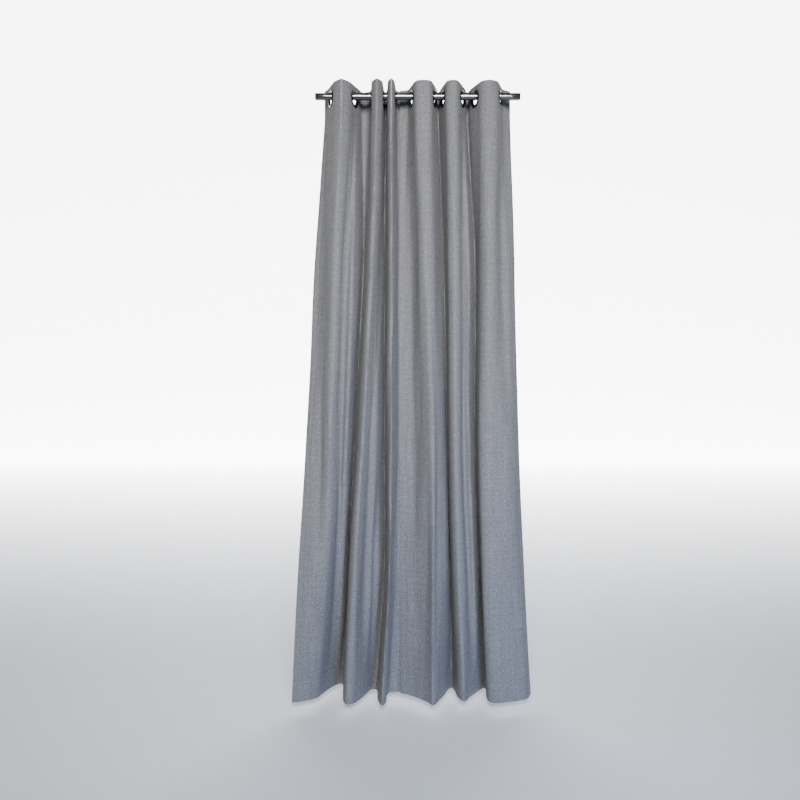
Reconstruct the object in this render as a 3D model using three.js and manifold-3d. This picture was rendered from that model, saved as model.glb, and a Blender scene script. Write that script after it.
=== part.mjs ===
// A pair of eyelet curtain panels hanging closed on a steel pole.
// Millimetres. +X runs right along the pole, -Y faces the room, +Z is up.
// The origin is the middle of the pole, on its axis.
import * as THREE from 'three';
import Module from 'manifold-3d';
import { mergeVertices } from 'three/addons/utils/BufferGeometryUtils.js';

const wasm = await Module();
wasm.setup();

// ---------------------------------------------------------------- driving dimensions

const fitGap = 0.3; // between pieces that touch

const pole = { diameter: 25.4, wall: 1.5, length: 710 };
const plug = { capThickness: 2.5, insertDepth: 18, insertWall: 2 };

const cloth = {
  thickness: 0.8,
  drop: 2134, // finished length, top edge to hem
  aboveEyelet: 16.2, // cloth above the eyelet's flange
  turnDown: 100, // depth of the doubled heading
};
const tape = { thickness: 0.6, sideInset: 5, bottomInset: 3 };

const eyelet = {
  bore: 41,
  barrelWall: 1.4,
  flangeDiameter: 61,
  frontThickness: 1.6,
  backThickness: 1.4,
  edgeRound: 0.7,
};
const seatMargin = 2.5; // flat cloth kept past the eyelet's flange
const holeClearance = 0.4; // cloth hole round the eyelet's barrel
const holeCutLength = 19.2; // of the tool that cuts each hole, more than the layers' thickness

// How each panel hangs. Eyelets are listed from left to right: x is the place along the pole and
// turn is how far the wall of cloth there leans from square to the pole, in degrees. Walls run to
// the front and to the back by turns, and an edge or a fold is where two walls meet.
// The hem's outline [x, y] has one point for each edge, eyelet line and fold, in that order.
const panels = [
  {
    side: 'left',
    eyelets: [
      { x: -303, turn: 20 },
      { x: -220.5, turn: 20 },
      { x: -161.5, turn: 3 },
      { x: -120, turn: 2 },
      { x: -105, turn: 2 },
      { x: -78, turn: 3 },
    ],
    edges: [[-325, 62], [-51, 63]],
    foldDepths: [-68, 70, -72, 70, -70],
    hem: [
      [-441, -47], [-410, -42], [-360, -28], [-322, 42], [-270, 108], [-256, 15], [-232, -66],
      [-196, -8], [-148, 62], [-138, -10], [-122, -80], [-102, -10], [-50, 41],
    ],
    outermost: 0,
  },
  {
    side: 'right',
    eyelets: [
      { x: -21, turn: 14 },
      { x: 59, turn: 14 },
      { x: 89.5, turn: 11 },
      { x: 156.5, turn: 20 },
      { x: 201, turn: 20 },
      { x: 289, turn: 18 },
    ],
    edges: [[-61, 50], [322, 60]],
    foldDepths: [-57, 70, -57, 70, -58],
    hem: [
      [-60, 30], [0, -19], [51, -82], [83, -10], [118, 70], [142, -5], [170, -51],
      [202, 20], [233, 70], [238, -15], [285, -64], [350, -42], [395, 30],
    ],
    outermost: 5,
  },
];

const curvePoints = 3; // points on each bend between a flat seat and a fold
const foldRoundness = 0.6; // share of a bend's width that arrives level with the pole
const edgeStraightness = 0.3; // share of a bend's chord that runs straight to a free edge
const dropRows = 7; // rows of cloth below the heading
const ringSegments = 20;
const poleSegments = 32;

// ---------------------------------------------------------------- derived sizes

const poleRadius = pole.diameter / 2;
const barrelRadius = eyelet.bore / 2 + eyelet.barrelWall;
const flangeRadius = eyelet.flangeDiameter / 2;
const boreFlat = (eyelet.bore / 2) * Math.cos(Math.PI / ringSegments); // to the middle of a facet
const ringHeight = poleRadius + fitGap - boreFlat; // the bore's top rests on the pole
const clothTop = ringHeight + flangeRadius + cloth.aboveEyelet;
const headingBottom = clothTop - cloth.turnDown;
const hemHeight = clothTop - cloth.drop;
const seatHalf = flangeRadius + seatMargin;

// Layers of the heading, as distances behind the middle of the face cloth.
const half = cloth.thickness / 2;
const tapeFront = half + fitGap;
const tapeBack = tapeFront + tape.thickness;
const liningFront = tapeBack + fitGap;
const liningBack = liningFront + cloth.thickness;

// ---------------------------------------------------------------- materials

function material(color, roughness, metalness) {
  return new THREE.MeshStandardMaterial({ color, roughness, metalness });
}

const finishes = {
  cloth: () => material(0x77777a, 0.95, 0),
  tape: () => material(0xdedcd6, 0.9, 0),
  eyelet: () => material(0x3d3e41, 0.3, 1),
  pole: () => material(0x414245, 0.25, 1),
  plug: () => material(0x2f3032, 0.45, 0.2),
};

const curtains = new THREE.Group();

function addPiece(parent, name, geometry, finish) {
  const mesh = new THREE.Mesh(geometry, finish());
  mesh.name = name;
  parent.add(mesh);
  return mesh;
}

// ---------------------------------------------------------------- cutting

function toSolid(geometry) {
  const bare = geometry.clone();
  bare.deleteAttribute('normal');
  bare.deleteAttribute('uv');
  const merged = mergeVertices(bare, 1e-4);
  return new wasm.Manifold(new wasm.Mesh({
    numProp: 3,
    vertProperties: new Float32Array(merged.attributes.position.array),
    triVerts: new Uint32Array(merged.index.array),
  }));
}

function toGeometry(solid) {
  const mesh = solid.getMesh();
  const geometry = new THREE.BufferGeometry();
  geometry.setAttribute('position', new THREE.BufferAttribute(mesh.vertProperties.slice(), 3));
  geometry.setIndex(new THREE.BufferAttribute(mesh.triVerts.slice(), 1));
  geometry.computeVertexNormals();
  return geometry;
}

// ---------------------------------------------------------------- plan of the folds

// Unit direction of the wall of cloth at eyelet i, going left to right through the folds.
function wallDirection(panel, i) {
  const turn = THREE.MathUtils.degToRad(panel.eyelets[i].turn);
  const toFront = i % 2 === 0;
  return new THREE.Vector2(Math.sin(turn), toFront ? -Math.cos(turn) : Math.cos(turn));
}

// Points from just past eyelet i to an edge or a fold: the flat seat's end, then a bend that
// leaves it straight and arrives level with the pole, except at a free outer edge. way is +1
// onwards, -1 backwards.
function wallPoints(panel, i, way, target, isFree) {
  const centre = new THREE.Vector2(panel.eyelets[i].x, 0);
  const along = wallDirection(panel, i).multiplyScalar(way);
  const seatEnd = centre.clone().addScaledVector(along, seatHalf);
  const reach = seatEnd.distanceTo(target) / 2;
  const leave = seatEnd.clone().addScaledVector(along, reach);
  const arrive = isFree
    ? target.clone().lerp(seatEnd, edgeStraightness)
    : target.clone().sub(new THREE.Vector2(way * Math.abs(target.x - seatEnd.x) * foldRoundness, 0));
  const bend = new THREE.CubicBezierCurve(seatEnd, leave, arrive, target);
  return bend.getPoints(curvePoints);
}

// The plan at the heading, as stations [x, y], with the stations' places among the key points.
function headingPlan(panel) {
  const count = panel.eyelets.length;
  const ends = [panel.edges[0]];
  for (let i = 0; i < count - 1; i += 1) {
    const foldX = (panel.eyelets[i].x + panel.eyelets[i + 1].x) / 2;
    ends.push([foldX, panel.foldDepths[i]]);
  }
  ends.push(panel.edges[1]);

  const stations = [];
  for (let i = 0; i < count; i += 1) {
    const before = new THREE.Vector2(...ends[i]);
    const after = new THREE.Vector2(...ends[i + 1]);
    const firstFree = i === 0 && panel.outermost === 0;
    const lastFree = i === count - 1 && panel.outermost === count - 1;
    const back = wallPoints(panel, i, -1, before, firstFree);
    const onward = wallPoints(panel, i, 1, after, lastFree);
    const step = 1 / back.length;
    const key = 2 * i + 1;
    const keyed = (points, way) => points.map((point, k) => ({ point, key: key + way * (k + 1) * step }));
    const centre = { point: new THREE.Vector2(panel.eyelets[i].x, 0), key };
    const arriving = keyed(back, -1).reverse();
    stations.push(...(i === 0 ? arriving : arriving.slice(1)), centre, ...keyed(onward, 1));
  }
  return stations;
}

// Returns a function of height that gives the plan there, as a list of Vector2.
function planOf(panel) {
  const stations = headingPlan(panel);
  const hemCurve = new THREE.CatmullRomCurve3(
    panel.hem.map(([x, y]) => new THREE.Vector3(x, y, 0)),
    false,
    'centripetal',
  );
  const lastKey = panel.hem.length - 1;
  const hemPoints = stations.map(({ key }) => {
    const p = hemCurve.getPoint(THREE.MathUtils.clamp(key / lastKey, 0, 1));
    return new THREE.Vector2(p.x, p.y);
  });
  return (height) => {
    const share = Math.max(0, (headingBottom - height) / (headingBottom - hemHeight));
    return stations.map(({ point }, k) => point.clone().lerp(hemPoints[k], share));
  };
}

// A plan moved sideways by distance (towards the wall side of the cloth), with mitred corners.
function offsetPlan(plan, distance) {
  const normals = [];
  for (let k = 0; k < plan.length - 1; k += 1) {
    const d = plan[k + 1].clone().sub(plan[k]).normalize();
    normals.push(new THREE.Vector2(-d.y, d.x));
  }
  return plan.map((point, k) => {
    const a = normals[Math.max(0, k - 1)];
    const b = normals[Math.min(normals.length - 1, k)];
    const mitre = a.clone().add(b).divideScalar(1 + a.dot(b));
    return point.clone().addScaledVector(mitre, distance);
  });
}

function shortenPlan(plan, inset) {
  const cut = plan.map((p) => p.clone());
  const last = plan.length - 1;
  cut[0].lerp(plan[1], inset / plan[0].distanceTo(plan[1]));
  cut[last].lerp(plan[last - 1], inset / plan[last].distanceTo(plan[last - 1]));
  return cut;
}

// A closed layer of cloth between two distances behind the face cloth's middle, through levels
// that run from high to low. planAt gives the plan at each level.
function layer(planAt, from, to, levels) {
  const rows = [];
  for (const height of levels) {
    const plan = planAt(height);
    const front = offsetPlan(plan, from);
    const back = offsetPlan(plan, to);
    rows.push([...front, ...back.reverse()].map((p) => [p.x, p.y, height]));
  }
  const around = rows[0].length;
  const across = around / 2;
  const triangles = [];
  for (let r = 0; r < rows.length - 1; r += 1) {
    for (let k = 0; k < around; k += 1) {
      const next = (k + 1) % around;
      const a = r * around + k;
      const b = r * around + next;
      const c = a + around;
      const d = b + around;
      triangles.push(a, c, b, b, c, d);
    }
  }
  const lowest = (rows.length - 1) * around;
  for (let k = 0; k < across - 1; k += 1) {
    const mate = around - 1 - k;
    triangles.push(k, k + 1, mate, k + 1, mate - 1, mate);
    triangles.push(lowest + k, lowest + mate, lowest + k + 1);
    triangles.push(lowest + k + 1, lowest + mate, lowest + mate - 1);
  }
  const geometry = new THREE.BufferGeometry();
  geometry.setAttribute('position', new THREE.Float32BufferAttribute(rows.flat(2), 3));
  geometry.setIndex(triangles);
  geometry.computeVertexNormals();
  return geometry;
}

function evenLevels(from, to, count) {
  return Array.from({ length: count + 1 }, (_, k) => THREE.MathUtils.lerp(from, to, k / count));
}

// ---------------------------------------------------------------- cloth, tape and eyelets

// Turns a piece made along +Y so that its +Y points out of the face of the cloth at eyelet i.
function seatMatrix(panel, i) {
  const along = wallDirection(panel, i);
  const outward = new THREE.Vector3(along.y, -along.x, 0);
  const turned = new THREE.Quaternion().setFromUnitVectors(new THREE.Vector3(0, 1, 0), outward);
  const place = new THREE.Vector3(panel.eyelets[i].x, 0, ringHeight);
  return new THREE.Matrix4().compose(place, turned, new THREE.Vector3(1, 1, 1));
}

function cutHoles(solid, panel) {
  let holed = solid;
  for (let i = 0; i < panel.eyelets.length; i += 1) {
    const radius = barrelRadius + holeClearance;
    const drill = new THREE.CylinderGeometry(radius, radius, holeCutLength, ringSegments);
    drill.applyMatrix4(seatMatrix(panel, i));
    holed = holed.subtract(toSolid(drill));
  }
  return holed;
}

function clothGeometry(panel, planAt) {
  const turnOver = clothTop - cloth.thickness;
  const faceLevels = [clothTop, ...evenLevels(headingBottom, hemHeight, dropRows)];
  const face = toSolid(layer(planAt, -half, half, faceLevels));
  const bridge = toSolid(layer(planAt, -half, liningBack, [clothTop, turnOver]));
  const lining = toSolid(layer(planAt, liningFront, liningBack, [clothTop, headingBottom]));
  return toGeometry(cutHoles(face.add(bridge).add(lining), panel));
}

function tapeGeometry(panel, planAt) {
  const shortPlanAt = (height) => shortenPlan(planAt(height), tape.sideInset);
  const top = clothTop - cloth.thickness - fitGap;
  const levels = [top, headingBottom + tape.bottomInset];
  return toGeometry(cutHoles(toSolid(layer(shortPlanAt, tapeFront, tapeBack, levels)), panel));
}

function ring(outline) {
  const points = [...outline, outline[0]].map(([r, y]) => new THREE.Vector2(r, y));
  return new THREE.LatheGeometry(points, ringSegments);
}

// Front flange and barrel in one piece; y is measured out of the face of the cloth.
function eyeletFront() {
  const inner = eyelet.bore / 2;
  const seat = half + fitGap;
  const face = seat + eyelet.frontThickness;
  const barrelEnd = -(liningBack + fitGap + eyelet.backThickness);
  const round = eyelet.edgeRound;
  return ring([
    [inner, barrelEnd],
    [barrelRadius, barrelEnd],
    [barrelRadius, seat],
    [flangeRadius, seat],
    [flangeRadius, face - round],
    [flangeRadius - round, face],
    [inner + round, face],
    [inner, face - round],
  ]);
}

// Ring that snaps over the barrel behind the cloth.
function eyeletBack() {
  const inner = barrelRadius + fitGap;
  const seat = -(liningBack + fitGap);
  const face = seat - eyelet.backThickness;
  const round = eyelet.edgeRound;
  return ring([
    [inner, face],
    [flangeRadius - round, face],
    [flangeRadius, face + round],
    [flangeRadius, seat],
    [inner, seat],
  ]);
}

function addPanel(panel) {
  const planAt = planOf(panel);
  addPiece(curtains, `${panel.side}_panel_cloth`, clothGeometry(panel, planAt), finishes.cloth);
  addPiece(curtains, `${panel.side}_heading_tape`, tapeGeometry(panel, planAt), finishes.tape);
  for (let i = 0; i < panel.eyelets.length; i += 1) {
    const number = Math.abs(i - panel.outermost) + 1;
    const seat = new THREE.Group();
    seat.applyMatrix4(seatMatrix(panel, i));
    addPiece(seat, `${panel.side}_eyelet_${number}_front`, eyeletFront(), finishes.eyelet);
    addPiece(seat, `${panel.side}_eyelet_${number}_back`, eyeletBack(), finishes.eyelet);
    curtains.add(seat);
  }
}

// ---------------------------------------------------------------- pole

function addPole() {
  const inner = poleRadius - pole.wall;
  const end = pole.length / 2;
  const tube = new THREE.LatheGeometry([
    new THREE.Vector2(inner, -end),
    new THREE.Vector2(poleRadius, -end),
    new THREE.Vector2(poleRadius, end),
    new THREE.Vector2(inner, end),
    new THREE.Vector2(inner, -end),
  ], poleSegments);
  const body = addPiece(curtains, 'curtain_pole', tube, finishes.pole);
  body.rotation.z = -Math.PI / 2;
}

// A cup pushed into the tube's end, closed by a cap that covers the tube's wall.
function addPlug(name, way) {
  const outer = poleRadius - pole.wall - fitGap;
  const inner = outer - plug.insertWall;
  const outline = new THREE.LatheGeometry([
    new THREE.Vector2(0, 0),
    new THREE.Vector2(inner, 0),
    new THREE.Vector2(inner, -plug.insertDepth),
    new THREE.Vector2(outer, -plug.insertDepth),
    new THREE.Vector2(outer, 0),
    new THREE.Vector2(poleRadius, 0),
    new THREE.Vector2(poleRadius, plug.capThickness),
    new THREE.Vector2(0, plug.capThickness),
  ], poleSegments);
  const piece = addPiece(curtains, name, outline, finishes.plug);
  piece.rotation.z = -way * Math.PI / 2;
  piece.position.x = way * (pole.length / 2 + fitGap);
}

panels.forEach(addPanel);
addPole();
addPlug('left_end_plug', -1);
addPlug('right_end_plug', 1);

export default curtains;
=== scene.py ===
"""A pair of grey linen-look eyelet curtains, hanging closed on a dark polished steel pole."""
import math

import bmesh
import bpy
import numpy as np
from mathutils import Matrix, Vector


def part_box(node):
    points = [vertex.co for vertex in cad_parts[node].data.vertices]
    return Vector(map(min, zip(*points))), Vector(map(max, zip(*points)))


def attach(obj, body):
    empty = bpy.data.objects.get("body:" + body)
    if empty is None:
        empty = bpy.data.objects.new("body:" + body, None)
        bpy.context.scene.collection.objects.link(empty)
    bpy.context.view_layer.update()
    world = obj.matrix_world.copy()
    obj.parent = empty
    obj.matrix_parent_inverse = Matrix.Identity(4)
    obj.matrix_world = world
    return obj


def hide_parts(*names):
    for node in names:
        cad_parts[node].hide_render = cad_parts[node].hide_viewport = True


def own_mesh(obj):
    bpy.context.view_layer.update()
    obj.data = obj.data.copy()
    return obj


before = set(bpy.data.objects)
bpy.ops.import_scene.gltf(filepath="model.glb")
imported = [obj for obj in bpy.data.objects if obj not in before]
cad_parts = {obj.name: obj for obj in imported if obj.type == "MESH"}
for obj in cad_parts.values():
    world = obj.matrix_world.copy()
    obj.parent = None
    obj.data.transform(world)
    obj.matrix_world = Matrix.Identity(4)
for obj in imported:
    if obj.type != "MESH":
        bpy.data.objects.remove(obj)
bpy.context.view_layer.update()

# ------------------------------------------------------------------ sizes, in metres

MM = 0.001
SIDES = ("left", "right")
EYELETS = 6
DROP = 2.134
TURN_DOWN = 0.100  # depth of the heading that is turned down behind
HEM_DEPTH = 0.076  # depth of the hem that is turned up behind
SIDE_HEM = 0.024
CLOTH = 0.0008
TAPE = 0.0006
GAP = 0.0003
LINING = CLOTH + TAPE + 2 * GAP  # from the middle of the face cloth to the turned-down layer's
BACK_STACK = 1.5 * CLOTH + TAPE + 3 * GAP  # from the middle of the face cloth to the back ring
HEM_LAYER = 2 * CLOTH  # from the middle of the face cloth to the turned-up layer's
BORE = 0.0205  # radius, as are the next four
BARREL = 0.0219
FLANGE = 0.0305
HOLE = 0.0262  # the cloth's own edge lies between the flanges
POLE = 0.0127
SEAT = 0.033  # half the flat width of cloth that an eyelet holds
BACK_RING = 0.0014  # thickness
POLE_WALL = 0.0015

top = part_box("left_panel_cloth")[1][2]
ring_height = sum(corner[2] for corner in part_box("left_eyelet_1_front")) / 2
hem_height = top - DROP
heading_bottom = top - TURN_DOWN

# ------------------------------------------------------------------ how the cloth hangs

# Places across a panel are counted in half walls of cloth, from left to right: 0 is the left
# edge, odd whole numbers are the eyelets' walls, even ones the folds, and 12 is the right edge.
# At the heading the eyelets set the plan. Below it, each level is a share of the drop, with
# (place across, x, depth behind the pole) in millimetres, chosen one by one.
HEADING_FOLDS = {"left": [-68, 70, -72, 70, -70], "right": [-57, 70, -57, 70, -58]}
HEADING_EDGES = {"left": [(-330, 62), (-51, 63)], "right": [(-61, 50), (331, 60)]}
HEADING_FLARE = 0.9  # how straight the cloth sets off below the stiff heading, 0 to 1
# From 0, a round fold, to 1, a crease.
FOLD_CRISPNESS = {"left": [0.9, 0, 0.85, 0, 0.5], "right": [0.15, 0, 0.25, 0, 0.5]}
LEVELS = {
    "left": {
        0.28: [
            (0, -363, 46), (0.5, -342, 30), (1, -325, 2), (1.5, -304, -42), (2, -284, -64),
            (2.5, -267, -56), (2.8, -252, -28), (3.05, -242, -23), (3.3, -226, -38),
            (3.6, -209, -8), (4, -192, 68),
            (4.5, -181, 15), (5, -176, -8), (5.5, -170, -45), (6, -157, -68), (6.5, -144, -50),
            (7, -131, -5), (8, -117, 68), (9, -107, 0), (9.5, -101, -48), (10, -90, -66),
            (10.5, -82, -45), (11, -75, -8), (11.5, -70, 36), (12, -50, 58),
        ],
        0.58: [
            (0, -390, 10), (0.5, -368, -4), (1, -347, -13), (1.3, -335, -18), (1.6, -321, -44),
            (2, -301, -62), (2.5, -285, -48), (2.8, -271, -20), (3, -263, -14), (3.2, -248, -31),
            (3.6, -234, -2),
            (4, -225, 78), (5, -212, 5), (5.5, -204, -45), (6, -189, -68), (6.5, -175, -48),
            (7, -162, -22), (7.3, -148, -24), (7.6, -132, 10), (8, -117, 68), (9, -109, 0),
            (9.5, -103, -45), (10, -92, -68), (10.5, -84, -40), (11, -75, 0), (11.5, -68, 36),
            (12, -52, 50),
        ],
        0.80: [
            (0, -414, -40), (0.7, -377, -48), (1.4, -342, -50), (2, -316, -42), (2.5, -297, -12),
            (2.8, -288, 15), (3.1, -276, 22), (3.5, -262, 25), (3.8, -252, 62), (4, -247, 92),
            (5, -240, 10), (5.5, -233, -50), (6, -218, -68), (6.4, -205, -58), (6.8, -191, -16),
            (7, -182, -2), (7.3, -162, 2), (7.45, -154, 16), (7.7, -138, 22), (8, -118, 64),
            (9, -108, 5), (9.5, -104, -50), (10, -99, -76),
            (10.5, -92, -45), (11, -88, -5), (11.5, -76, 26), (12, -51, 42),
        ],
        1.00: [
            (0, -433, -50), (0.7, -402, -44), (1.4, -369, -28), (2, -347, -8), (2.4, -333, 27),
            (2.8, -315, 68), (3.4, -293, 100), (4, -274, 113), (5, -262, 25), (5.4, -253, -52),
            (5.7, -244, -66), (6, -228, -65), (6.5, -211, -46), (7, -194, -12), (7.4, -178, 28),
            (7.7, -165, 58), (8, -149, 62), (8.5, -142, 30), (9.4, -135, -40), (10, -124, -77),
            (10.4, -114, -62), (10.8, -109, -30), (11.1, -106, 10), (11.4, -95, 34), (12, -50, 40),
        ],
    },
    "right": {
        0.28: [
            (0, -62, 47), (0.5, -40, 47), (0.8, -23, 38), (1, -9, 8), (1.5, 6, -38), (2, 27, -56),
            (2.5, 50, -46), (3, 67, -8), (3.5, 82, 35), (4, 94, 68), (5, 101, 12), (5.5, 107, -38),
            (6, 125, -58), (6.5, 143, -46), (6.8, 154, -18), (7, 160, -12), (7.25, 174, -24),
            (7.5, 188, 6), (8, 206, 66), (9, 213, 8), (9.5, 222, -38), (10, 241, -60),
            (10.4, 262, -52), (10.8, 278, -27), (11.1, 291, -8), (11.5, 313, 0), (12, 342, 30),
        ],
        0.58: [
            (0, -63, 40), (0.5, -39, 36), (0.8, -14, 28), (1, 5, 0), (1.5, 28, -35), (2, 51, -60),
            (2.5, 66, -38), (3, 81, -20), (3.5, 94, 2), (4, 107, 62), (5, 110, 5), (5.5, 114, -38),
            (6, 128, -58), (6.5, 146, -42), (6.8, 156, -10), (7, 162, -4), (7.25, 177, -18),
            (7.5, 190, 12), (8, 207, 64), (9, 209, 5), (9.5, 215, -42), (10, 239, -60), (10.5, 274, -50),
            (11, 308, -32), (11.5, 335, -10), (12, 357, 30),
        ],
        0.80: [
            (0, -61, 33), (0.5, -34, 21), (0.8, -9, 8), (1, 11, -12), (1.5, 33, -38), (2, 52, -72),
            (2.5, 67, -48), (3, 86, -22), (3.5, 101, 0), (4, 119, 62), (5, 120, 5),
            (5.5, 125, -35), (6, 140, -56), (6.5, 160, -42), (6.8, 172, -6), (7, 180, 0),
            (7.3, 195, -8), (7.5, 206, 18), (8, 225, 68), (9, 222, 0), (9.5, 223, -48),
            (10, 245, -64), (10.5, 287, -58), (11, 323, -44), (11.5, 353, -20), (12, 376, 28),
        ],
        1.00: [
            (0, -60, 30), (0.5, -31, 11), (1, 1, -15), (1.4, 21, -32), (1.7, 38, -56),
            (2, 49, -74), (2.4, 61, -64), (2.8, 75, -28), (3.3, 93, 12), (3.7, 111, 58),
            (4, 125, 78), (4.6, 132, 46), (5.2, 139, -2), (5.6, 149, -30), (6, 162, -42),
            (6.5, 177, -10), (7, 199, 22), (7.5, 223, 55), (8, 239, 74), (8.5, 244, 45),
            (9.2, 239, -25), (9.6, 247, -46), (10, 270, -57), (10.5, 309, -47), (11, 349, -34),
            (11.5, 382, -18), (12, 399, 22),
        ],
    },
}

# Soft folds too slight to change the plan: (place across at the start, and at the end, share of
# the drop at the start, and at the end, height in mm towards the room, half width in mm).
MINOR_FOLDS = {
    "left": [
        (6.7, 7.2, 0.25, 0.66, 3.0, 9),
        (2.9, 3.0, 0.05, 0.60, 2.5, 10),
        (1.2, 0.8, 0.30, 0.95, 2.0, 22),
        (6.3, 6.6, 0.55, 1.00, -2.0, 12),
    ],
    "right": [
        (2.6, 2.4, 0.55, 1.00, -2.0, 12),
        (6.9, 7.0, 0.15, 0.75, 2.5, 10),
        (10.6, 11.2, 0.40, 0.80, 2.5, 22),
        (10.2, 11.4, 0.62, 0.98, -2.5, 26),
    ],
}

MINOR_FADE = 0.12  # share of the drop over which a minor fold starts, or dies away
HEM_LEVEL = 0.99  # a minor fold that ends below this runs on to the hem

# Creases left by folding for the pack, as shares of the drop.
CREASES = (0.283, 0.340, 0.410, 0.597, 0.650, 0.743, 0.793)
CREASE_HEIGHT = 0.7 * MM
CREASE_WIDTH = 3.5 * MM

# Slow waves over the whole cloth. A wave's counts are of full turns in these distances.
WAVES = 9
WAVE_HEIGHT = 0.45 * MM
WAVE_ACROSS = 0.22
WAVE_DOWN = 1.1
FULL_TURN = 6.28
WAVE_SEED = {"left": 7, "right": 11}
SMOOTH_UNTIL = 0.16  # share of the drop at which the relief below the heading is full

# Sewn lines draw the cloth in along them.
SIDE_SEAM = SIDE_HEM - 0.003
HEM_SEAM = hem_height + HEM_DEPTH - 0.004
HEADING_SEAM = heading_bottom + 0.004
SEAM_DEPTH = 1.1 * MM
SEAM_WIDTH = 1.5 * MM

STATIONS = 48  # plan points to each half wall
BEND_POINTS = 40
PLAN_ROWS = 180
PLAN_COLUMNS = 480
places = np.linspace(0, 2 * EYELETS, 2 * EYELETS * STATIONS + 1)
plan_levels = np.linspace(0, 1, PLAN_ROWS + 1)
plan_shares = np.linspace(0, 1, PLAN_COLUMNS + 1)


def node_points(name):
    """The corners of a CAD node's mesh, as an array of points."""
    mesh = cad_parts[name].data
    points = np.empty(3 * len(mesh.vertices))
    mesh.vertices.foreach_get("co", points)
    return points.reshape(-1, 3)


def eyelet_seat(side, number):
    """Where an eyelet holds the cloth: the ring's centre, in the middle of the face cloth, and
    the way out of the cloth's face. The back ring is thinnest along its own axis."""
    back = node_points(f"{side}_eyelet_{number}_back")
    front = node_points(f"{side}_eyelet_{number}_front")
    middle = (back.min(axis=0) + back.max(axis=0)) / 2
    out = np.linalg.svd(back - back.mean(axis=0), full_matrices=False)[2][-1]
    out *= np.sign((front.mean(axis=0) - back.mean(axis=0)) @ out)
    near_face = ((back - middle) @ out).max()
    return middle + (near_face + BACK_STACK) * out, out


def smooth_through(knots, values, at, start_slope=1.0):
    """Cubic pieces through values at knots. The slope at a knot is the mean of the slopes on
    its two sides, each weighted by the other side's gap. start_slope scales the first one."""
    knots, values = np.asarray(knots, float), np.asarray(values, float)
    gaps = np.diff(knots)[:, None]
    steps = np.diff(values, axis=0) / gaps
    slopes = np.vstack([
        steps[:1],
        (steps[:-1] * gaps[1:] + steps[1:] * gaps[:-1]) / (gaps[:-1] + gaps[1:]),
        steps[-1:],
    ])
    slopes[0] = slopes[0] * start_slope
    piece = np.clip(np.searchsorted(knots, at, side="right") - 1, 0, len(gaps) - 1)
    gap = gaps[piece]
    f = ((at - knots[piece]) / gap[:, 0])[:, None]
    return (
        (2 * f**3 - 3 * f**2 + 1) * values[piece]
        + (f**3 - 2 * f**2 + f) * gap * slopes[piece]
        + (3 * f**2 - 2 * f**3) * values[piece + 1]
        + (f**3 - f**2) * gap * slopes[piece + 1]
    )


def lengths_along(points):
    """Distance along a line of points, from its first point."""
    steps = np.linalg.norm(np.diff(points, axis=-2), axis=-1)
    start = np.zeros(steps.shape[:-1] + (1,))
    return np.concatenate([start, np.cumsum(steps, axis=-1)], axis=-1)


def resample(points, shares):
    """Points at the given shares of a line's length."""
    length = lengths_along(points)
    share = length / length[-1]
    return np.stack([np.interp(shares, share, points[:, k]) for k in range(points.shape[1])], 1)


def half_wall(centre, along, target, way, crispness):
    """The heading's plan from an eyelet to a fold or an edge: straight to the end of the seat,
    then a cubic Bezier that leaves along the wall and arrives level with the pole, or, the
    crisper the fold, straight from the seat. The first handle is half the distance long, less
    for a crisp fold, and the level one 0.6 of the distance along the pole. Points at equal
    shares of its length."""
    seat = centre + SEAT * way * along
    reach = np.linalg.norm(target - seat) * (0.5 - 0.2 * crispness)
    leave = seat + reach * way * along
    level = np.array([way * abs(target[0] - seat[0]) * 0.6, 0])
    arrive = target - (1 - crispness) * level + crispness * 0.3 * (seat - target)
    f = np.linspace(0, 1, BEND_POINTS)[:, None]
    bend = (
        (1 - f) ** 3 * seat + 3 * f * (1 - f) ** 2 * leave
        + 3 * f**2 * (1 - f) * arrive + f**3 * target
    )
    return resample(np.vstack([centre, bend]), np.linspace(0, 1, STATIONS + 1))


def heading_plan(side, seats):
    """The plan of the heading at every place across: two half walls for each eyelet, meeting
    at folds midway between eyelets."""
    centres = [centre[:2] for centre, out in seats]
    walls = [np.array([-out[1], out[0]]) for centre, out in seats]
    edges = np.array(HEADING_EDGES[side]) * MM
    middles = [(a[0] + b[0]) / 2 for a, b in zip(centres, centres[1:])]
    folds = [np.array([x, y * MM]) for x, y in zip(middles, HEADING_FOLDS[side])]
    ends = [edges[0], *folds, edges[1]]
    free_edges = (1, 0) if side == "left" else (0, 1)
    crispness = [free_edges[0], *FOLD_CRISPNESS[side], free_edges[1]]
    parts = []
    for i in range(EYELETS):
        before = half_wall(centres[i], walls[i], ends[i], -1, crispness[i])
        after = half_wall(centres[i], walls[i], ends[i + 1], 1, crispness[i + 1])
        parts += [before[::-1][:-1], after[:-1]]
    return np.vstack([*parts, ends[-1]])


def level_plan(table):
    """A smooth plan through one level's points, at every place across. Pieces are timed by the
    square root of the distance between points, which keeps tight folds round."""
    table = np.array(table, float)
    points = table[:, 1:] * MM
    times = np.linalg.norm(np.diff(points, axis=0), axis=1) ** 0.5
    timing = np.concatenate([[0], np.cumsum(times)])
    return smooth_through(timing, points, np.interp(places, table[:, 0], timing))


def smooth_step(x, start, end):
    """0 before start, 1 after end, with a smooth cubic between."""
    f = np.clip((x - start) / (end - start), 0, 1)
    return f * f * (3 - 2 * f)


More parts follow.
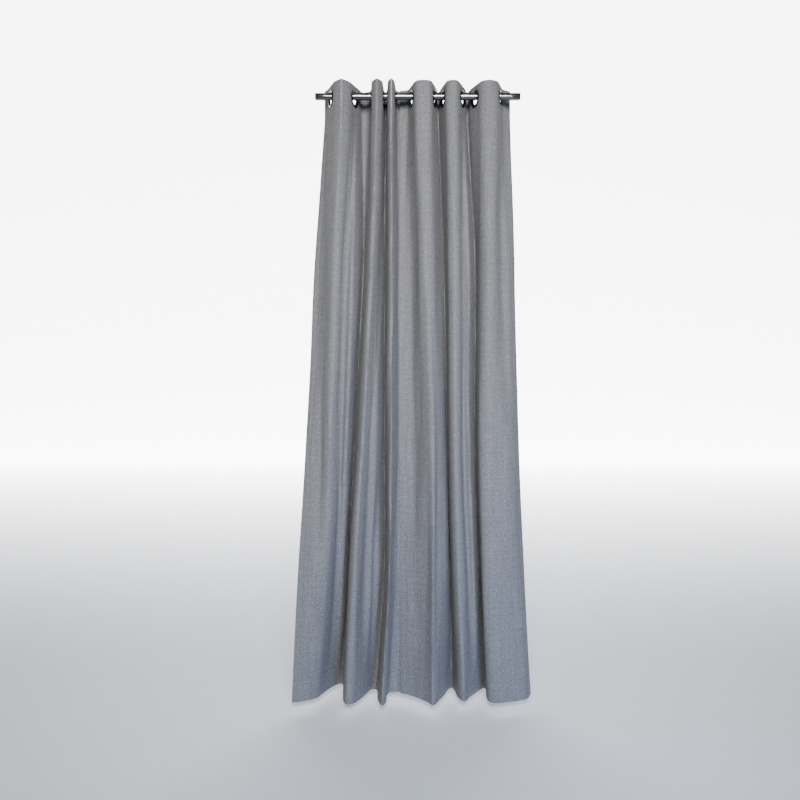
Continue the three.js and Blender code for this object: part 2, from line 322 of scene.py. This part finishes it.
class Panel:
    """One panel's hanging surface. It is asked for by share of the width (0 to 1, left to
    right) and height, and by the distance behind the middle of the face cloth."""

    def __init__(self, side):
        self.side = side
        order = range(1, EYELETS + 1) if side == "left" else range(EYELETS, 0, -1)
        self.seats = [eyelet_seat(side, number) for number in order]
        plans = [heading_plan(side, self.seats)] + [level_plan(t) for t in LEVELS[side].values()]
        levels = [TURN_DOWN / DROP, *LEVELS[side]]
        flat = smooth_through(
            levels,
            np.array(plans).reshape(len(plans), -1),
            np.maximum(plan_levels, levels[0]),
            start_slope=HEADING_FLARE,
        )
        rows = flat.reshape(len(plan_levels), len(places), 2)
        length = lengths_along(rows)
        self.width = length[0, -1]
        self.place_shares = length / length[:, -1:]
        self.points = np.array([resample(row, plan_shares) for row in rows])
        along = np.gradient(self.points, axis=1)
        along /= np.linalg.norm(along, axis=2, keepdims=True)
        self.behind = np.stack([-along[..., 1], along[..., 0]], axis=2)
        waves = np.random.default_rng(WAVE_SEED[side])
        self.waves = [
            (waves.uniform(0.7, 3.2), waves.uniform(0.5, 2.6), waves.uniform(0, FULL_TURN))
            for _ in range(WAVES)
        ]

    def share_at(self, place, level):
        """Share of the width at which a place across lies, at each level."""
        columns = np.round(np.asarray(place) * STATIONS).astype(int)
        rows = np.clip(np.round(np.asarray(level) * PLAN_ROWS).astype(int), 0, PLAN_ROWS)
        return self.place_shares[rows, np.clip(columns, 0, len(places) - 1)]

    def looked_up(self, table, share, level):
        """Bilinear reading of a table of levels by shares of the width."""
        r = np.clip(level, 0, 1) * (table.shape[0] - 1)
        c = np.clip(share, 0, 1) * (table.shape[1] - 1)
        r0 = np.minimum(r.astype(int), table.shape[0] - 2)
        c0 = np.minimum(c.astype(int), table.shape[1] - 2)
        fr, fc = (r - r0)[..., None], (c - c0)[..., None]
        above = (1 - fc) * table[r0, c0] + fc * table[r0, c0 + 1]
        below = (1 - fc) * table[r0 + 1, c0] + fc * table[r0 + 1, c0 + 1]
        return (1 - fr) * above + fr * below

    def relief(self, share, level):
        """How far the cloth stands towards the room beyond its plan. It is the sum of slow
        waves, minor folds that are bell curves across and fade at both ends, and creases that
        are bell curves down the drop, each stronger and weaker across. All fade out at the
        heading. Grooves along the sewn lines, bell curves too, are then taken off."""
        across = share * self.width
        down = level * DROP
        relief = np.zeros(np.shape(share))
        for count, fall, phase in self.waves:
            turns = count * across / WAVE_ACROSS + fall * down / WAVE_DOWN
            relief = relief + WAVE_HEIGHT * np.sin(FULL_TURN * turns + phase) / np.sqrt(count)
        for first, last, start, end, height, width in MINOR_FOLDS[self.side]:
            f = np.clip((level - start) / (end - start), 0, 1)
            at = self.share_at(first + (last - first) * f, level) * self.width
            fade = smooth_step(level, start, start + MINOR_FADE)
            if end < HEM_LEVEL:
                fade = fade * (1 - smooth_step(level, end - MINOR_FADE, end))
            bell = np.exp(-(((across - at) / (width * MM)) ** 2))
            relief = relief + height * MM * fade * bell
        for k, crease in enumerate(CREASES):
            strength = 0.55 + 0.45 * np.sin(9.0 * across / self.width * (1 + 0.3 * k) + 2.1 * k)
            bell = np.exp(-(((level - crease) * DROP / CREASE_WIDTH) ** 2))
            relief = relief + CREASE_HEIGHT * strength * bell * (-1) ** k
        relief = relief * smooth_step(level, TURN_DOWN / DROP, SMOOTH_UNTIL)
        from_side = np.minimum(np.abs(across - SIDE_SEAM), np.abs(self.width - across - SIDE_SEAM))
        side_groove = np.exp(-((from_side / SEAM_WIDTH) ** 2)) * (down > TURN_DOWN)
        hem_groove = np.exp(-(((top - down - HEM_SEAM) / SEAM_WIDTH) ** 2))
        return relief - SEAM_DEPTH * np.maximum(side_groove, hem_groove)

    def place(self, share, height, behind):
        """Points on the surface, moved behind it, and the way behind there (level)."""
        level = (top - height) / DROP
        plan = self.looked_up(self.points, share, level)
        back = self.looked_up(self.behind, share, level)
        back /= np.linalg.norm(back, axis=-1, keepdims=True)
        plan = plan + back * (behind - self.relief(share, level))[..., None]
        zero = np.zeros(np.shape(share) + (1,))
        points = np.concatenate([plan, np.broadcast_to(height, np.shape(share))[..., None]], -1)
        return points, np.concatenate([back, zero], -1)


# ------------------------------------------------------------------ meshes

def make_mesh(name, vertices, faces, uv=None, sharp=60):
    """A smooth-shaded object from arrays of points and of quads or triangles. Corners that no
    face uses are dropped, and edges that turn by more than sharp degrees stay crisp."""
    faces = [np.asarray(part) for part in faces]
    used, where = np.unique(np.concatenate([part.ravel() for part in faces]), return_inverse=True)
    mesh = bpy.data.meshes.new(name)
    counts = np.concatenate([np.full(len(part), part.shape[1]) for part in faces])
    mesh.vertices.add(len(used))
    mesh.vertices.foreach_set("co", vertices[used].ravel())
    mesh.loops.add(len(where))
    mesh.loops.foreach_set("vertex_index", where.astype(np.int32))
    mesh.polygons.add(len(counts))
    mesh.polygons.foreach_set("loop_start", np.concatenate([[0], np.cumsum(counts)[:-1]]))
    mesh.update(calc_edges=True)
    mesh.polygons.foreach_set("use_smooth", np.ones(len(counts), bool))
    if uv is not None:
        layer = mesh.uv_layers.new(name="UVMap")
        layer.uv.foreach_set("vector", uv[used][where].astype(np.float32).ravel())
    mesh.validate()
    mesh.set_sharp_from_angle(angle=math.radians(sharp))
    piece = bpy.data.objects.new(name, mesh)
    bpy.context.scene.collection.objects.link(piece)
    return piece


def grid_quads(rows, columns, wrap=False):
    """Corners of the cells of a grid, anticlockwise where columns run right and rows up."""
    index = np.arange(rows * columns).reshape(rows, columns)
    if wrap:
        index = np.concatenate([index, index[:, :1]], axis=1)
    return np.stack([index[:-1, :-1], index[:-1, 1:], index[1:, 1:], index[1:, :-1]], axis=-1)


def closed_sheet(name, middle, out, uv, kept, thickness):
    """A sheet of even thickness about a grid of points: the grid moved out by half the
    thickness, the same moved in and turned over, and a strip round every open edge."""
    rows, columns = middle.shape[:2]
    count = rows * columns
    outer = (middle + out * thickness / 2).reshape(-1, 3)
    inner = (middle - out * thickness / 2).reshape(-1, 3)
    quads = grid_quads(rows, columns)[kept]
    edges = np.concatenate([quads[:, [k, (k + 1) % 4]] for k in range(4)])
    forward, reverse = edges @ [count, 1], edges @ [1, count]
    a, b = edges[~np.isin(forward, reverse)].T
    rim = np.stack([b, a, a + count, b + count], axis=1)
    flat_uv = uv.reshape(-1, 2)
    faces = [np.concatenate([quads, quads[:, ::-1] + count, rim])]
    return make_mesh(name, np.vstack([outer, inner]), faces, np.vstack([flat_uv, flat_uv]))


def cut_round_holes(across, height, centres, radius):
    """Marks the grid cells outside every hole as kept, and moves the grid points on each
    hole's edge on to its circle."""
    kept = np.ones((across.shape[0] - 1, across.shape[1] - 1), bool)
    for centre in centres:
        dx, dz = across - centre, height - ring_height
        distance = np.hypot(dx, dz)
        corners = distance[:-1, :-1] + distance[1:, :-1] + distance[:-1, 1:] + distance[1:, 1:]
        inside = corners / 4 < radius
        kept &= ~inside
        near = np.pad(inside, 1)
        touches = np.stack([near[:-1, :-1], near[1:, :-1], near[:-1, 1:], near[1:, 1:]])
        edge = touches.any(axis=0) & ~touches.all(axis=0)
        scale = np.where(edge, radius / np.maximum(distance, 1e-9), 1)
        across, height = centre + dx * scale, ring_height + dz * scale
    return across, height, kept


def lathe(profile, segments, centre, axis):
    """Points of an outline of (radius, place along the axis) turned about an axis through
    centre: at each turn the radius runs along cos(turn) * side + sin(turn) * up."""
    profile = np.asarray(profile, float)
    axis = np.asarray(axis, float) / np.linalg.norm(axis)
    side = np.cross(axis, [0, 0, 1.0])
    side /= np.linalg.norm(side)
    up = np.cross(side, axis)
    turn = np.linspace(0, 2 * np.pi, segments, endpoint=False)[:, None, None]
    ring = np.cos(turn) * side + np.sin(turn) * up
    points = centre + profile[None, :, :1] * ring + profile[None, :, 1:] * axis
    return points.reshape(-1, 3)


def lathe_piece(name, profile, segments, centre, axis, sharp=35):
    """A closed outline of (radius, place along the axis), turned about an axis through centre.
    Its first column of points joins its last, both round the axis and round the outline."""
    vertices = lathe(profile, segments, centre, axis)
    around = np.arange(segments)[:, None] * len(profile)
    along = np.arange(len(profile))[None, :]
    after = (along + 1) % len(profile)
    ahead = (around + len(profile)) % (segments * len(profile))
    quads = np.stack([around + along, ahead + along, ahead + after, around + after], axis=-1)
    return make_mesh(name, vertices, [quads.reshape(-1, 4)], sharp=sharp)


def arc(centre, radius, start, end, count):
    """Points on an arc, from one angle to another in degrees."""
    turn = np.radians(np.linspace(start, end, count))
    return [(centre[0] + radius * math.cos(a), centre[1] + radius * math.sin(a)) for a in turn]


# ------------------------------------------------------------------ cloth

COLUMNS = 169
FACE_ROW = 0.0106
HEADING_ROW = 0.0049
LEAST_ROW = 0.0012
TAPE_ROWS = 20
TAPE_INSET = 0.005  # from each side edge of the panel
SIDE_HEM_ROWS = 190
SIDE_HEM_GAP = 0.001  # between a side hem and the layers above and below it


def with_detail(spots, centres, width):
    """Places along one direction of the grid, with five added across each narrow feature, in
    steps of 0.8 of its width, in place of any that lie too near them."""
    steps = width * np.array([-1.6, -0.8, 0, 0.8, 1.6])
    extra = (np.asarray(centres)[:, None] + steps).ravel()
    spots = spots[np.abs(spots[:, None] - extra).min(axis=1) > 0.5 * width]
    return np.sort(np.concatenate([spots, extra]))


def cloth_path():
    """The cloth's way up the panel, as (distance behind, height) with the turned edge's own
    shape: up inside the hem's fold from behind, round the bottom edge, up the face, over the
    top edge and down behind the heading."""
    hem_round = HEM_LAYER / 2
    low = hem_height + CLOTH / 2 + hem_round
    high = top - CLOTH / 2 - LINING / 2
    hem = [(HEM_LAYER, z) for z in np.linspace(hem_height + HEM_DEPTH, low, 8)]
    under = arc((hem_round, low), hem_round, 0, -180, 7)[1:-1]
    face_rows = np.linspace(low, heading_bottom, int((heading_bottom - low) / FACE_ROW))
    creases = top - np.array(CREASES) * DROP
    face_rows = np.sort(np.concatenate([
        face_rows, creases - CREASE_WIDTH, creases, creases + CREASE_WIDTH,
    ]))
    spaced = np.concatenate([[True], np.diff(face_rows) > LEAST_ROW])
    face_rows = with_detail(face_rows[spaced], [HEM_SEAM], SEAM_WIDTH)
    face = [(0.0, z) for z in face_rows]
    heading = np.linspace(heading_bottom, high, int(TURN_DOWN / HEADING_ROW))
    over = arc((LINING / 2, high), LINING / 2, 180, 0, 7)[1:-1]
    return np.array(
        hem + under + face + [(0.0, z) for z in heading[1:]] + over
        + [(LINING, z) for z in heading[::-1]]
    )


def make_curtain(panel):
    """The panel's cloth: its path up the panel carried across the width, with a round hole at
    each eyelet in both layers of the heading."""
    path = cloth_path()
    run = lengths_along(path)
    ahead = np.gradient(path, axis=0)
    ahead /= np.linalg.norm(ahead, axis=1, keepdims=True)
    columns = with_detail(
        np.linspace(0, panel.width, COLUMNS), [SIDE_SEAM, panel.width - SIDE_SEAM], SEAM_WIDTH)
    across, height = np.meshgrid(columns, path[:, 1])
    centres = panel.place_shares[0, STATIONS::2 * STATIONS] * panel.width
    across, height, kept = cut_round_holes(across, height, centres, HOLE)
    behind = np.broadcast_to(path[:, :1], across.shape)
    middle, back = panel.place(across / panel.width, height, behind)
    out = -ahead[:, 1][:, None, None] * back
    out[..., 2] += ahead[:, 0][:, None]
    uv = np.stack([across, np.broadcast_to(run[:, None], across.shape)], axis=-1)
    return closed_sheet(f"{panel.side}_curtain", middle, out, uv, kept, CLOTH)


def flat_layer(panel, name, shares, heights, behind, thickness, holes=False):
    """A flat layer of cloth or tape that follows the panel at one distance behind it."""
    across, height = np.meshgrid(np.asarray(shares) * panel.width, heights)
    kept = np.ones((across.shape[0] - 1, across.shape[1] - 1), bool)
    if holes:
        centres = panel.place_shares[0, STATIONS::2 * STATIONS] * panel.width
        across, height, kept = cut_round_holes(across, height, centres, HOLE)
    middle, back = panel.place(across / panel.width, height, np.full(across.shape, behind))
    uv = np.stack([across, height - hem_height], axis=-1)
    return closed_sheet(name, middle, -back, uv, kept, thickness)


def make_tape(panel):
    """The stiffening tape between the heading's two layers."""
    inset = TAPE_INSET / panel.width
    heights = np.linspace(heading_bottom + 0.003, top - CLOTH - GAP - 0.0005, TAPE_ROWS)
    middle = (CLOTH + TAPE) / 2 + GAP
    shares = np.linspace(inset, 1 - inset, COLUMNS)
    return flat_layer(panel, f"{panel.side}_tape", shares, heights, middle, TAPE, holes=True)


def make_side_hem(panel, at_left):
    """The narrow hem turned back along one side edge."""
    edge = "left" if at_left else "right"
    shares = np.linspace(0.0004, SIDE_HEM / panel.width, 6)
    shares = shares if at_left else 1 - shares[::-1]
    low, high = hem_height + HEM_DEPTH, heading_bottom
    heights = np.linspace(low + SIDE_HEM_GAP, high - SIDE_HEM_GAP, SIDE_HEM_ROWS)
    name = f"{panel.side}_{edge}_side_hem"
    return flat_layer(panel, name, shares, heights, CLOTH + GAP, CLOTH)


STITCH = 2.7 * MM
STITCH_PITCH = 3.6 * MM
STITCH_WIDTH = 0.55 * MM
STITCH_HEIGHT = 0.28 * MM
STITCH_SUNK = 0.1 * MM  # how far a stitch's ends lie below the cloth's face
STITCH_ROOT = 0.15 * MM
STITCH_SHAPE = 6  # points to each stitch
ROW_INSET = 0.004  # from a panel's edge to where its level rows of stitches start
ROW_GAP = 0.01  # from a level row to the ends of the upright rows
SAME_POINT = 1e-7


def stitch_row(panel, start, end, behind, outward):
    """A row of stitches between two points (distance across, height), as an array of points:
    both ends, the two sides, the crown and the root of each stitch."""
    start, end = np.array(start), np.array(end)
    length = np.linalg.norm(end - start)
    count = int(length / STITCH_PITCH)
    step = (end - start) / length
    centres = start + step * ((np.arange(count) + 0.5) * length / count)[:, None]

    def on_cloth(offset, lift):
        at = centres + offset
        depth = np.full(count, behind + outward * lift)
        return panel.place(at[:, 0] / panel.width, at[:, 1], depth)[0]

    sideways = np.array([-step[1], step[0]]) * STITCH_WIDTH / 2
    return np.stack([
        on_cloth(-step * STITCH / 2, -STITCH_SUNK),
        on_cloth(step * STITCH / 2, -STITCH_SUNK),
        on_cloth(sideways, 0),
        on_cloth(-sideways, 0),
        on_cloth(0 * step, STITCH_HEIGHT),
        on_cloth(0 * step, -STITCH_ROOT),
    ], axis=1)


def make_stitching(panel):
    """Every visible row of stitches on a panel, in front and behind: the heading's lower edge,
    the hem's upper edge, and both side hems."""
    left, right = ROW_INSET, panel.width - ROW_INSET
    low, high = HEM_SEAM, HEADING_SEAM
    rows = []
    for behind, outward in ((-CLOTH / 2, -1), (LINING + CLOTH / 2, 1)):
        rows.append(stitch_row(panel, (left, high), (right, high), behind, outward))
    for behind, outward in ((-CLOTH / 2, -1), (HEM_LAYER + CLOTH / 2, 1)):
        rows.append(stitch_row(panel, (left, low), (right, low), behind, outward))
    for behind, outward in ((-CLOTH / 2, -1), (1.5 * CLOTH + GAP, 1)):
        for x in (SIDE_SEAM, panel.width - SIDE_SEAM):
            rows.append(stitch_row(panel, (x, low + ROW_GAP), (x, high - ROW_GAP), behind, outward))
    points = np.concatenate(rows)
    first, last, one_side, other_side, crown, root = range(STITCH_SHAPE)
    shape = []
    for a, b in ((one_side, crown), (crown, other_side), (other_side, root), (root, one_side)):
        shape += [(first, a, b), (last, b, a)]
    faces = (np.arange(len(points)) * STITCH_SHAPE)[:, None, None] + np.array(shape)
    piece = make_mesh(f"{panel.side}_stitching", points.reshape(-1, 3), [faces.reshape(-1, 3)])
    outward_faces(piece)
    return piece


def outward_faces(piece):
    """Joins the points that meet on an axis, and turns every face of a mesh of closed pieces to
    point outwards."""
    shell = bmesh.new()
    shell.from_mesh(piece.data)
    bmesh.ops.remove_doubles(shell, verts=shell.verts, dist=SAME_POINT)
    loose = [edge for edge in shell.edges if not edge.link_faces]
    bmesh.ops.delete(shell, geom=loose, context="EDGES")
    bmesh.ops.recalc_face_normals(shell, faces=shell.faces)
    shell.to_mesh(piece.data)
    shell.free()


# ------------------------------------------------------------------ eyelets, pole and plugs

RING_SEGMENTS = 72
POLE_SEGMENTS = 96
CAP = 0.0025  # thickness of an end plug's cap
CUP_WALL = 0.002


def eyelet_front_outline():
    """Domed front flange, rolled into the bore, with a straight barrel behind it."""
    seat = CLOTH / 2 + GAP
    barrel_end = -(BACK_STACK + BACK_RING)
    dome = [
        (FLANGE, seat), (FLANGE + 0.00005, seat + 0.0007), (FLANGE - 0.0004, seat + 0.00135),
        (FLANGE - 0.0014, seat + 0.0019), (FLANGE - 0.0030, seat + 0.0022),
        (FLANGE - 0.0050, seat + 0.00225), (FLANGE - 0.0070, seat + 0.0020),
        (FLANGE - 0.0086, seat + 0.0014), (FLANGE - 0.0096, seat + 0.0004), (BORE, seat - 0.001),
    ]
    return [*dome, (BORE, barrel_end), (BARREL, barrel_end), (BARREL, seat)]


def eyelet_back_outline():
    """Flat snap ring with a rounded outer edge and a slight bevel round the barrel."""
    seat = -BACK_STACK
    face = seat - BACK_RING
    inner = BARREL + GAP
    return [
        (inner, seat), (inner, face + 0.0003), (inner + 0.0004, face),
        (FLANGE - 0.0026, face - 0.0001), (FLANGE - 0.0012, face + 0.0001),
        (FLANGE - 0.0003, face + 0.0005), (FLANGE, face + 0.0010), (FLANGE, seat),
    ]


def make_eyelet(side, number):
    """Front and back rings of one eyelet, each turned about the eyelet's own axis."""
    centre, out = eyelet_seat(side, number)
    rings = []
    for face, outline in (("front", eyelet_front_outline()), ("back", eyelet_back_outline())):
        name = f"{side}_grommet_{number}_{face}"
        rings.append(lathe_piece(name, outline[::-1], RING_SEGMENTS, centre, out))
        outward_faces(rings[-1])
    return rings


def make_pole():
    """A thin steel tube with slightly eased ends, turned about the pole's axis."""
    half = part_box("curtain_pole")[1][0]
    ease = 0.0003
    bore = POLE - POLE_WALL
    stations = np.linspace(-half + ease, half - ease, 24)
    outer = [(POLE, x) for x in stations]
    inner = [(bore, x) for x in stations[::-1]]
    outline = [
        (POLE - ease, -half), *outer, (POLE - ease, half),
        (bore + ease, half), *inner, (bore + ease, -half),
    ]
    piece = lathe_piece("pole_tube", outline, POLE_SEGMENTS, np.zeros(3), (1, 0, 0), sharp=50)
    outward_faces(piece)
    return piece


def make_plug(name, node, way):
    """A cap with an eased rim, and the open cup behind it that grips inside the tube."""
    low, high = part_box(node)
    cap_face = high[0] if way > 0 else low[0]
    depth = high[0] - low[0]
    cup = POLE - POLE_WALL - GAP
    bore = cup - CUP_WALL
    outline = [
        (0, 0), (0.004, 0), (0.008, -0.00005), (POLE - 0.0012, -0.0002),
        (POLE - 0.0005, -0.0005), (POLE - 0.0001, -0.0011), (POLE, -0.0016), (POLE, -CAP),
        (cup, -CAP), (cup, -0.008), (cup - 0.0001, -depth + 0.001), (cup - 0.0006, -depth),
        (bore, -depth), (bore, -CAP - CUP_WALL), (0, -CAP - CUP_WALL),
    ]
    piece = lathe_piece(name, outline, RING_SEGMENTS, np.array([cap_face, 0, 0]), (way, 0, 0))
    outward_faces(piece)
    return piece


# ------------------------------------------------------------------ finishes

def new_material(name, **sockets):
    """A material, its node tree and its Principled shader, with constant sockets set."""
    material = bpy.data.materials.new(name)
    material.use_nodes = True
    shader = material.node_tree.nodes["Principled BSDF"]
    for socket, value in sockets.items():
        shader.inputs[socket.replace("_", " ")].default_value = value
    return material, material.node_tree, shader


def add_node(tree, kind, inputs=(), **settings):
    """A node with settings on itself and values or links on its inputs."""
    node = tree.nodes.new(kind)
    for key, value in settings.items():
        setattr(node, key, value)
    for socket, value in dict(inputs).items():
        if isinstance(value, bpy.types.NodeSocket):
            tree.links.new(value, node.inputs[socket])
        else:
            node.inputs[socket].default_value = value
    return node


def stretched_noise(tree, source, scale, detail=3.0, roughness=0.55):
    """Noise with its own scale across, up and through."""
    mapping = add_node(tree, "ShaderNodeMapping", {"Vector": source, "Scale": scale})
    noise = add_node(tree, "ShaderNodeTexNoise", {
        "Vector": mapping.outputs[0], "Scale": 1.0, "Detail": detail, "Roughness": roughness,
    })
    return noise.outputs[0]


def arithmetic(tree, operation, *values):
    """A Math node's result."""
    return add_node(tree, "ShaderNodeMath", dict(enumerate(values)), operation=operation).outputs[0]


def ramp(tree, value, stops):
    """Colours by value, from a list of (position, colour)."""
    node = add_node(tree, "ShaderNodeValToRGB", {"Fac": value})
    elements = node.color_ramp.elements
    while len(elements) < len(stops):
        elements.new(0.5)
    for element, (position, colour) in zip(elements, stops):
        element.position = position
        element.color = (*colour, 1)
    return node.outputs[0]


def add_bump(tree, shader, height, strength, distance):
    """Relief from a height in the material."""
    bump = add_node(
        tree, "ShaderNodeBump", {"Height": height, "Strength": strength, "Distance": distance})
    tree.links.new(bump.outputs[0], shader.inputs["Normal"])


def linen_finish(name, dark, middle, light, sheen):
    """Heathered plain weave on the cloth's own UV, in metres: short slubs along the warp and
    the weft, a mottled mix of dark and light fibre, and the threads themselves as bump."""
    material, tree, shader = new_material(
        name, Roughness=0.93, Sheen_Weight=sheen, Sheen_Roughness=0.45, Specular_IOR_Level=0.2)
    uv = add_node(tree, "ShaderNodeTexCoord").outputs["UV"]
    layers = [
        (stretched_noise(tree, uv, (700, 70, 1), roughness=0.6), 0.22),
        (stretched_noise(tree, uv, (70, 700, 1), roughness=0.6), 0.20),
        (stretched_noise(tree, uv, (280, 280, 1), detail=4.0, roughness=0.75), 0.44),
        (stretched_noise(tree, uv, (140, 6, 1), detail=2.0), 0.08),
        (stretched_noise(tree, uv, (9, 170, 1), detail=2.0), 0.06),
    ]
    total = arithmetic(tree, "MULTIPLY", layers[0][0], layers[0][1])
    for noise, share in layers[1:]:
        total = arithmetic(tree, "MULTIPLY_ADD", noise, share, total)
    colour = ramp(tree, total, [(0.38, dark), (0.5, middle), (0.62, light)])
    tree.links.new(colour, shader.inputs["Base Color"])
    threads = [
        add_node(tree, "ShaderNodeTexWave", {
            "Vector": uv, "Scale": 190.0, "Distortion": 1.2, "Detail": 2.0, "Detail Scale": 2.0,
        }, bands_direction=direction).outputs[1]
        for direction in ("X", "Y")
    ]
    weave = arithmetic(tree, "MULTIPLY", arithmetic(tree, "ADD", *threads), 0.35)
    add_bump(tree, shader, arithmetic(tree, "ADD", weave, total), 0.3, 0.0005)
    return material


def metal_finish(name, colour, roughness, brushed, metallic=1.0):
    """Metal or dark plastic with faint marks, on Object coordinates."""
    material, tree, shader = new_material(name, Metallic=metallic)
    at = add_node(tree, "ShaderNodeTexCoord").outputs["Object"]
    marks = stretched_noise(tree, at, brushed, detail=5.0, roughness=0.65)
    cloud = stretched_noise(tree, at, (22, 22, 22), detail=2.0)
    tone = arithmetic(tree, "ADD", arithmetic(tree, "MULTIPLY", marks, 0.5),
                      arithmetic(tree, "MULTIPLY", cloud, 0.5))
    darker, lighter = (tuple(c * f for c in colour) for f in (0.90, 1.06))
    shade = ramp(tree, tone, [(0.3, darker), (0.7, lighter)])
    tree.links.new(shade, shader.inputs["Base Color"])
    spread = arithmetic(tree, "ADD", arithmetic(tree, "MULTIPLY", tone, 0.12), roughness - 0.06)
    tree.links.new(spread, shader.inputs["Roughness"])
    add_bump(tree, shader, marks, 0.12, 0.00015)
    return material


linen = linen_finish(
    "linen_grey", (0.060, 0.062, 0.069), (0.124, 0.127, 0.137), (0.250, 0.254, 0.270), 0.04)
tape_cloth = linen_finish(
    "tape_white", (0.58, 0.57, 0.54), (0.68, 0.67, 0.64), (0.76, 0.75, 0.72), 0.1)
thread = linen_finish(
    "grey_thread", (0.12, 0.12, 0.125), (0.18, 0.18, 0.19), (0.25, 0.25, 0.26), 0.3)
eyelet_metal = metal_finish("eyelet_metal", (0.055, 0.056, 0.060), 0.30, (300, 300, 300))
pole_metal = metal_finish("pole_metal", (0.165, 0.163, 0.158), 0.23, (18, 900, 900))
plug_plastic = metal_finish("plug_grey", (0.035, 0.035, 0.037), 0.45, (240, 240, 240), metallic=0.2)

# ------------------------------------------------------------------ pieces on their bodies


def finish_piece(piece, material, body, slot, *nodes):
    """Gives a piece its finish and the body that carries it, and hides the CAD nodes that it stands for.
    """
    piece.data.materials.append(material)
    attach(piece, body)
    if nodes:
        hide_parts(*nodes)
    return piece


for side in SIDES:
    panel = Panel(side)
    anchor_x = eyelet_seat(side, 1)[0][0]
    body = f"{side}_panel"
    curtain = finish_piece(make_curtain(panel), linen, body, "linen_grey", f"{side}_panel_cloth")
    tape = finish_piece(make_tape(panel), tape_cloth, body, "tape_white", f"{side}_heading_tape")
    hems = [
        finish_piece(make_side_hem(panel, at_left), linen, body, "linen_grey")
        for at_left in (True, False)
    ]
    stitching = finish_piece(make_stitching(panel), thread, body, "linen_grey")
    for piece in (curtain, tape, *hems, stitching):
        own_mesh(piece)
    for number in range(1, EYELETS + 1):
        carrier = body if number == 1 else f"{side}_eyelet_{number}"
        front, back = make_eyelet(side, number)
        node = f"{side}_eyelet_{number}"
        finish_piece(front, eyelet_metal, carrier, "eyelet_metal", f"{node}_front")
        finish_piece(back, eyelet_metal, carrier, "eyelet_metal", f"{node}_back")

finish_piece(make_pole(), pole_metal, "root", "pole_metal", "curtain_pole")
for side, way in (("left", -1), ("right", 1)):
    plug = make_plug(f"{side}_cap", f"{side}_end_plug", way)
    finish_piece(plug, plug_plastic, "root", "plug_grey", f"{side}_end_plug")

# ------------------------------------------------------------------ floor, light and camera

FLOOR_DROP = 0.03  # below the hem
FLOOR_HALF = 14.0
BACKDROP_Y = 7.0
BACKDROP_TOP = 3.9
BACKDROP_HALF = 5.3
BACKDROP_GLOW = 6.5
GLOW_START_Y = 0.3  # the floor starts to glow behind the curtains, to meet the backdrop
GLOW_CURVE = 1.6
floor_z = hem_height - FLOOR_DROP


def stage_sheet(name, corners, material):
    """A flat four-cornered surface of the room, kept out of the object."""
    mesh = bpy.data.meshes.new(name)
    mesh.from_pydata(corners, [], [(0, 1, 2, 3)])
    sheet = bpy.data.objects.new(name, mesh)
    bpy.context.scene.collection.objects.link(sheet)
    mesh.materials.append(material)


floor_material, floor_tree, floor_shader = new_material(
    "pale_floor", Base_Color=(0.62, 0.65, 0.71, 1), Roughness=0.9, Emission_Color=(1, 1, 1, 1))
floor_at = add_node(floor_tree, "ShaderNodeTexCoord").outputs["Object"]
floor_y = add_node(floor_tree, "ShaderNodeSeparateXYZ", {0: floor_at}).outputs["Y"]
floor_glow = add_node(floor_tree, "ShaderNodeMapRange", {
    "Value": floor_y, "From Min": GLOW_START_Y, "From Max": BACKDROP_Y,
}).outputs["Result"]
floor_glow = arithmetic(
    floor_tree, "MULTIPLY", arithmetic(floor_tree, "POWER", floor_glow, GLOW_CURVE),
    BACKDROP_GLOW)
floor_tree.links.new(floor_glow, floor_shader.inputs["Emission Strength"])
stage_sheet(
    "floor",
    [(x * FLOOR_HALF, y * FLOOR_HALF, floor_z) for x, y in ((-1, -1), (1, -1), (1, 1), (-1, 1))],
    floor_material)

lit_backdrop = new_material(
    "lit_backdrop", Base_Color=(0.9, 0.9, 0.9, 1), Emission_Color=(1, 1, 1, 1),
    Emission_Strength=BACKDROP_GLOW)[0]
stage_sheet(
    "backdrop",
    [(-BACKDROP_HALF, BACKDROP_Y, floor_z), (BACKDROP_HALF, BACKDROP_Y, floor_z),
     (BACKDROP_HALF, BACKDROP_Y, BACKDROP_TOP), (-BACKDROP_HALF, BACKDROP_Y, BACKDROP_TOP)],
    lit_backdrop)

world = bpy.data.worlds.new("pale_room")
world.use_nodes = True
background = world.node_tree.nodes["Background"]
background.inputs["Color"].default_value = (0.97, 0.98, 1.0, 1)
background.inputs["Strength"].default_value = 0.25
bpy.context.scene.world = world


def area_light(name, place, target, size, spread, power, colour):
    """A soft square light at a place, turned to face a target. Spread is in degrees."""
    light = bpy.data.lights.new(name, "AREA")
    light.size = size
    light.spread = math.radians(spread)
    light.energy = power
    light.color = colour
    lamp = bpy.data.objects.new(name, light)
    lamp.location = place
    lamp.rotation_euler = (Vector(target) - Vector(place)).to_track_quat("-Z", "Y").to_euler()
    bpy.context.scene.collection.objects.link(lamp)


area_light("key", (0.05, -3.5, 0.62), (-0.03, 0, -0.72), 1.3, 68, 56.5, (1.0, 0.970, 0.915))
area_light("low_fill", (0.8, -2.5, -1.6), (0.15, 0, -2.0), 0.6, 90, 14, (0.28, 0.49, 1.0))

camera = bpy.data.objects.new("camera", bpy.data.cameras.new("camera"))
camera.data.sensor_width = 36
camera.data.lens = 35.7
camera.data.shift_y = -0.039
camera.location = (-0.0615, -2.77, -0.950)
camera.rotation_euler = (math.radians(90), 0, 0)
bpy.context.scene.collection.objects.link(camera)
bpy.context.scene.camera = camera
